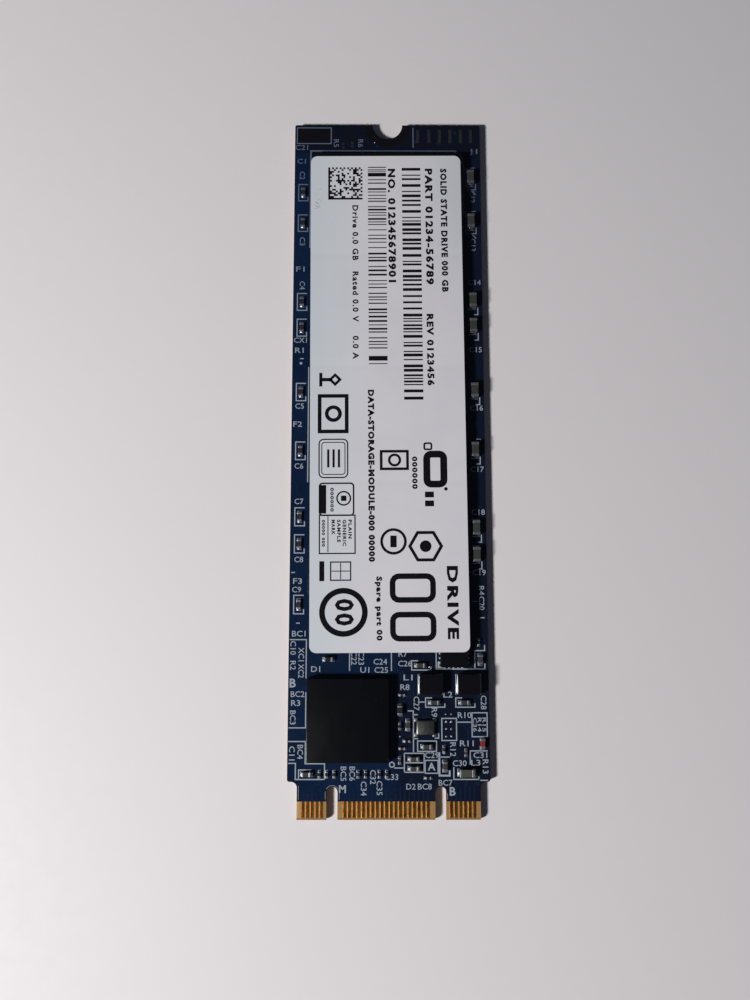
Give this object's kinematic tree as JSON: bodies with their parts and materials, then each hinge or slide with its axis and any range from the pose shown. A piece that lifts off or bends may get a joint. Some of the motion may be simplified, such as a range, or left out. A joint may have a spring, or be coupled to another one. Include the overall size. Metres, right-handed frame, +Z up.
{
  "type": "solid state drive",
  "caption": "Bare stick-shaped solid state drive: blue circuit board with gold edge contacts, key slots, a screw notch, flash chips under a white label, a controller chip and power parts.",
  "frame": {"origin": "centre of the board's flat underside", "axes": "+Y runs along the board from the gold edge contacts to the screw notch, +Z points up out of the side with the chips and the label"},
  "size_m": [0.022, 0.08, 0.0021],
  "materials": {
    "board": "satin",
    "gold": "satin",
    "plating": "satin",
    "solder": "satin",
    "label": "satin",
    "chip_package": "matte",
    "ferrite": "matte",
    "metal_lid": "satin",
    "capacitor": "satin",
    "resistor": "satin",
    "status_light": "gloss"
  },
  "bodies": {
    "root": {"bottom_contacts_left": "gold", "bottom_contacts_middle": "gold", "bottom_contacts_right": "gold", "circuit_board": "board", "controller_chip": "chip_package", "controller_side_resistor": "resistor", "controller_solder_joints": "solder", "corner_capacitor": "capacitor", "crystal_load_capacitor": "capacitor", "crystal_oscillator": "metal_lid", "filter_capacitor_1": "capacitor", "filter_capacitor_2": "capacitor", "filter_capacitor_3": "capacitor", "flash_memory_1": "chip_package", "flash_memory_2": "chip_package", "flash_memory_3": "chip_package", "flash_memory_4": "chip_package", "flash_solder_joints_1": "solder", "flash_solder_joints_2": "solder", "flash_solder_joints_3": "solder", "flash_solder_joints_4": "solder", "inductor_1_output_capacitor": "capacitor", "inductor_2_output_capacitor": "capacitor", "label_edge_resistor": "resistor", "left_capacitor_1": "capacitor", "left_capacitor_2": "capacitor", "left_capacitor_3": "capacitor", "left_capacitor_4": "capacitor", "left_capacitor_5": "capacitor", "left_capacitor_6": "capacitor", "left_capacitor_7": "capacitor", "left_capacitor_8": "capacitor", "left_capacitor_9": "capacitor", "power_inductor_1": "ferrite", "power_inductor_2": "ferrite", "power_regulator_chip": "chip_package", "product_label": "label", "regulator_input_capacitor": "capacitor", "regulator_side_capacitor": "capacitor", "right_capacitor_1": "capacitor", "right_capacitor_2": "capacitor", "right_capacitor_3": "capacitor", "right_capacitor_4": "capacitor", "right_capacitor_5": "capacitor", "right_capacitor_6": "capacitor", "right_capacitor_7": "capacitor", "right_capacitor_8": "capacitor", "screw_notch_plating": "plating", "small_resistor_1": "resistor", "small_resistor_2": "resistor", "small_resistor_3": "resistor", "small_resistor_4": "resistor", "small_resistor_5": "resistor", "small_resistor_6": "resistor", "small_resistor_7": "resistor", "status_light": "status_light", "supply_capacitor": "capacitor", "top_contacts_left": "gold", "top_contacts_middle": "gold", "top_contacts_right": "gold"}
  },
  "joints": []
}
